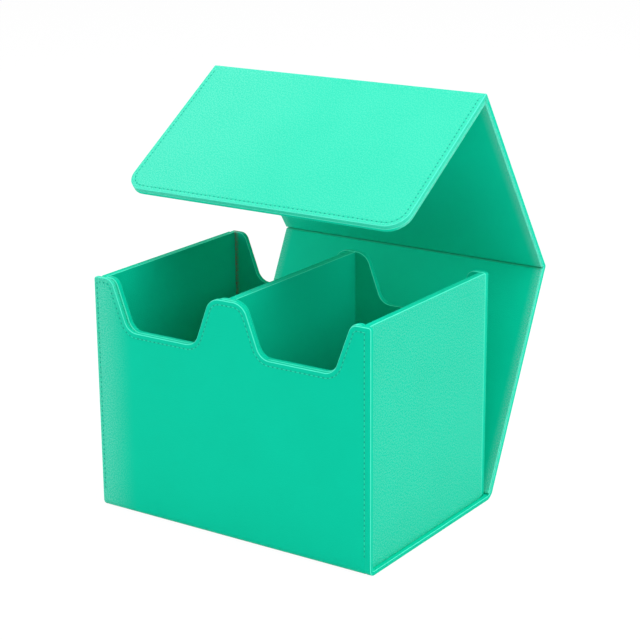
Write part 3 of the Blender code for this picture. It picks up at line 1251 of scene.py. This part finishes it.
@dataclass
class Lid:
    """The back, top and flap panels, and the leather folds between them."""

    finishes: Finishes
    rear_axis: Vector = field(default_factory=lambda: Vector((0, 69.6 * MM, 3.0 * MM)))
    rear_roll: float = 3.0 * MM
    apex_roll: float = 1.8 * MM
    back_length: float = 145.5 * MM
    top_length: float = 142.0 * MM
    flap_length: float = 109.6 * MM
    lean: float = math.radians(26.0)
    rear_turn: float = math.radians(59.7)
    apex_turn: float = math.radians(89.0)
    margin: float = 3.45 * MM
    rear_bend: tuple[float, float] = (7.6 * MM, 3.1 * MM)
    top_bend: tuple[float, float] = (1.7 * MM, 1.4 * MM)
    apex_bend: tuple[float, float] = (1.3 * MM, 1.2 * MM)
    corner: float = 0.3 * MM
    flap_corner: float = 13.0 * MM
    lining_low: float = 2.8 * MM
    lining_high: float = 4.8 * MM
    lining_inset: float = 0.15 * MM
    rear_lining_start: float = 0.5 * MM
    fold_clearance: float = 0.1 * MM
    seam_inset: float = 2.8 * MM
    seam_end: float = 0.6 * MM
    flap_seam_end: float = 2.0 * MM

    def __post_init__(self) -> None:
        """Works out the frame of each panel as the case stands open."""
        self.back = Matrix.Translation(self.rear_axis) @ Matrix.Rotation(-self.lean, 4, "X")
        crease = self.back @ Matrix.Translation((0, 0, self.back_length))
        self.crease = crease
        self.top = crease @ Matrix.Rotation(self.rear_turn, 4, "X")
        step = Vector((0, self.rear_roll - self.apex_roll, self.top_length))
        self.apex = self.top @ Matrix.Translation(step)
        self.flap = self.apex @ Matrix.Rotation(self.apex_turn, 4, "X")

    def build(self) -> None:
        """Builds the panels, their folds and their stitches."""
        self._panel("back", Body.BACK, self.back, self.rear_roll, self.back_length, False)
        self._panel("top", Body.TOP, self.top, self.rear_roll, self.top_length, False)
        self._panel("flap", Body.FLAP, self.flap, self.apex_roll, self.flap_length, True)
        self._linings()
        self._folds()

    def _panel(
        self, name: str, body: Body, matrix: Matrix, roll: float, length: float, free: bool
    ) -> None:
        """Covers one panel in leather and sews its edges.

        Args:
            name: the panel's name.
            body: what it rides on.
            matrix: its frame.
            roll: the distance of its outer face from the fold's axis.
            length: its length from axis to axis, or to its free end.
            free: True for the flap, whose end is rounded and sewn.
        """
        way = hinged(matrix, roll)
        end = length if free else length + OVERRUN
        end_radius = self.flap_corner if free else self.corner
        outline = sheet_outline(WRAP_WIDTH, -OVERRUN, end, self.corner, end_radius)
        sheet = Sheet(outline, SECTION.tray(WRAP_PANEL, self.seam_inset))
        sheet.trim(self.margin, False)
        if not free:
            sheet.trim(length - self.margin, True)
        finish = self.finishes.flap if free else self.finishes.leather
        leather = publish(sheet.set_in_place(way), f"{name}_leather", finish, Slot.LEATHERETTE)
        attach(leather, body.value)
        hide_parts(f"{name}_cover")
        if free:
            seams = [outline.inset(self.seam_inset).seam(1)]
            seams[0][0].y = seams[0][-1].y = self.flap_seam_end
        else:
            half = WRAP_WIDTH / 2 - self.seam_inset
            low, high = self.margin + self.seam_end, length - self.margin - self.seam_end
            seams = [[Vector((x, low)), Vector((x, high))] for x in (-half, half)]
        for piece in Stitching(self.finishes).sew(f"{name}_seam", seams, way, SECTION.groove_depth):
            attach(piece, body.value)

    def _linings(self) -> None:
        """Lines the inside of each panel, with sloping ends where two linings fold together."""
        start, clear = self.rear_lining_start, self.fold_clearance
        spans = (
            ("back", Body.BACK, self.back, self.rear_roll, (start, self.back_length - clear)),
            ("top", Body.TOP, self.top, self.rear_roll, (clear, self.top_length - clear)),
            ("flap", Body.FLAP, self.flap, self.apex_roll, (clear, self.flap_length)),
        )
        for name, body, matrix, roll, (low, high) in spans:
            end_radius = self.flap_corner if name == "flap" else self.corner
            outline = sheet_outline(WRAP_WIDTH, low, high, self.corner, end_radius)
            outline = outline.inset(self.lining_inset)
            sheet = Sheet(outline, SECTION.pillow(self.lining_low, self.lining_high))
            if name != "back":
                sheet.mitre(low, 1, roll)
            if name == "top":
                sheet.mitre(high, -1, self.apex_roll)
            if name == "back":
                sheet.mitre(high, -1, roll)
            piece = publish(
                sheet.set_in_place(hinged(matrix, roll)),
                f"{name}_lining_plate",
                self.finishes.lid_lining,
                Slot.LINING,
            )
            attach(piece, body.value)
            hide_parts(f"{name}_lining")

    def _strip(self, name: str, bend: Bend, low: float, high: float) -> bpy.types.Object:
        """A solid strip of leather round part of a bend."""
        apex = name.startswith("apex")
        before, after = low - OVERRUN, high + OVERRUN
        outline = sheet_outline(WRAP_WIDTH, before, after, self.corner, self.corner)
        sheet = Sheet(outline, SECTION.pillow(0, WRAP_PANEL))
        sheet.trim(low, False).trim(high, True).crease(bend.creases())
        finish = self.finishes.flap if apex else self.finishes.leather
        return publish(sheet.set_in_place(bend.place), name, finish, Slot.LEATHERETTE)

    def _bend(
        self, matrix: Matrix, roll: float, shape: tuple[float, float], turn: float
    ) -> Bend:
        """A bend between two panels, from its outer radius and its half length on the sheet."""
        radius, zone = shape
        return Bend(matrix, roll, radius, turn, self.margin, zone)

    def _folds(self) -> None:
        """Builds the leather between the panels, which bends with the joints."""
        bottom = Matrix.Translation(self.rear_axis) @ Matrix.Rotation(-math.pi / 2, 4, "X")
        rear = self._bend(bottom, self.rear_roll, self.rear_bend, math.pi / 2 - self.lean)
        strip = self._strip("rear_bottom_fold_leather", rear, -self.margin, self.margin)
        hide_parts("rear_bottom_fold")
        ease = self.margin
        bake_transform(strip, Body.BOX.value, Body.BACK.value, rear.rim(0, -ease), rear.rim(1, ease))

        top = self._bend(self.crease, self.rear_roll, self.top_bend, self.rear_turn)
        lower = self._strip("rear_top_fold_lower_leather", top, -self.margin, 0)
        upper = self._strip("rear_top_fold_upper_leather", top, 0, self.margin)
        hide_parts("rear_top_fold")
        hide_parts("rear_top_fold")
        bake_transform(lower, Body.BACK.value, Body.SPINE.value, top.rim(0), top.rim(0.5))
        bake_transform(upper, Body.SPINE.value, Body.TOP.value, top.rim(0.5), top.rim(1))

        apex = self._bend(self.apex, self.apex_roll, self.apex_bend, self.apex_turn)
        strip = self._strip("apex_fold_leather", apex, -self.margin, self.margin)
        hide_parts("front_top_fold")
        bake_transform(strip, Body.TOP.value, Body.FLAP.value, apex.rim(0), apex.rim(1))


@dataclass(frozen=True)
class Lamp:
    """A soft rectangular lamp, aimed at a point."""

    name: str
    place: Vector
    aim: Vector
    size: float
    power: float

    def build(self) -> None:
        """Puts the lamp in the scene."""
        light = bpy.data.lights.new(self.name, "AREA")
        light.size = self.size
        light.energy = self.power
        lamp = linked(self.name, light)
        lamp.location = self.place
        lamp.rotation_euler = (self.place - self.aim).to_track_quat("Z", "Y").to_euler()


@dataclass
class Studio:
    """The camera, the pale floor, the lamps and the white background."""

    azimuth: float = 34.0889
    elevation: float = 16.9608
    roll: float = -0.4014
    aim: Vector = field(default_factory=lambda: Vector((0.01879, 0, 0.12073)))
    distance: float = 1.0941
    lens: float = 104.02
    sensor: float = 36.0
    lamp_aim: Vector = field(default_factory=lambda: Vector((0, 0, 0.12)))
    floor_size: float = 60.0
    world_light: float = 0.5
    floor_glow: float = 0.92
    floor_strength: float = 1.03
    floor_colour: Colour = (0.9, 0.9, 0.9)

    def build(self) -> None:
        """Builds everything that isn't part of the case."""
        self._camera()
        self._floor()
        self._world()
        lamps = (
            ("rear softbox", (0.0, 0.7, 1.5), 1.2, 15.0),
            ("overhead softbox", (0.5, -0.25, 1.6), 0.9, 7.0),
            ("right softbox", (1.3, -0.3, 1.05), 1.0, 9.0),
            ("left softbox", (-1.5, -0.9, 0.7), 1.0, 11.0),
        )
        for name, place, size, power in lamps:
            Lamp(name, Vector(place), self.lamp_aim, size, power).build()
        bpy.context.scene.view_settings.view_transform = "Standard"

    def _camera(self) -> None:
        """Places the camera as the photograph was taken."""
        az, el, roll = (math.radians(v) for v in (self.azimuth, self.elevation, self.roll))
        back = Vector((math.sin(az) * math.cos(el), -math.cos(az) * math.cos(el), math.sin(el)))
        level = Vector((math.cos(az), math.sin(az), 0))
        rise = back.cross(level)
        right = math.cos(roll) * level + math.sin(roll) * rise
        up = -math.sin(roll) * level + math.cos(roll) * rise
        data = bpy.data.cameras.new("camera")
        data.lens = self.lens
        data.sensor_width = self.sensor
        camera = linked("camera", data)
        matrix = Matrix((right, up, back)).transposed().to_4x4()
        matrix.translation = self.aim + back * self.distance
        camera.matrix_world = matrix
        bpy.context.scene.camera = camera

    def _floor(self) -> None:
        """Lays the floor, which shows near white and keeps the case's soft shadow."""
        bm = bmesh.new()
        bmesh.ops.create_grid(bm, x_segments=2, y_segments=2, size=self.floor_size / 2)
        mesh = bpy.data.meshes.new("floor")
        bm.to_mesh(mesh)
        bm.free()
        floor = linked("floor", mesh)
        material, nodes = new_material("pale floor")
        matt = nodes.add("ShaderNodeBsdfDiffuse", {"Color": rgba(self.floor_colour)})
        glow = nodes.add("ShaderNodeEmission", {"Color": WHITE, "Strength": self.floor_strength})
        share = nodes.maths("MULTIPLY", nodes.looked_at(), self.floor_glow)
        inputs = {0: share, 1: matt.outputs[0], 2: glow.outputs[0]}
        mixed = nodes.add("ShaderNodeMixShader", inputs)
        nodes.add("ShaderNodeOutputMaterial", {"Surface": mixed.outputs[0]})
        mesh.materials.append(material)
        floor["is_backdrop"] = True

    def _world(self) -> None:
        """A soft even sky, seen as plain white."""
        world = bpy.data.worlds.new("white studio")
        world.use_nodes = True
        bpy.context.scene.world = world
        nodes = Tree(world.node_tree)
        extra = 1 - self.world_light
        strength = nodes.maths("MULTIPLY_ADD", nodes.looked_at(), extra, self.world_light)
        sky = nodes.add("ShaderNodeBackground", {"Color": WHITE, "Strength": strength})
        nodes.add("ShaderNodeOutputWorld", {"Surface": sky.outputs[0]})


def dress_solids(finishes: Finishes) -> None:
    """Gives the boards and magnets that stay their materials.

    Args:
        finishes: the case's materials.
    """
    for name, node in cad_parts.items():
        material = None
        if name.endswith("_board"):
            material = finishes.board
        elif "magnet" in name:
            material = finishes.steel
        if material:
            for slot in node.material_slots:
                slot.material = material
            LOG.info("%s: %s", name, material.name)


def write_sizes() -> None:
    """Works out the box of the solids and of the dressed case side by side."""
    boxes = {"solids": SOLIDS_BOX, "dressed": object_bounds()}
    plain = {name: [list(low), list(high)] for name, (low, high) in boxes.items()}


def main() -> None:
    """Dresses the case and sets up its studio."""
    logging.basicConfig(level=logging.INFO, format="%(message)s", stream=sys.stdout)
    finishes = Finishes()
    dress_solids(finishes)
    WrapBase(finishes).build()
    Box(finishes).build()
    Lid(finishes).build()
    Studio().build()
    write_sizes()


if __name__ == "__main__":
    main()
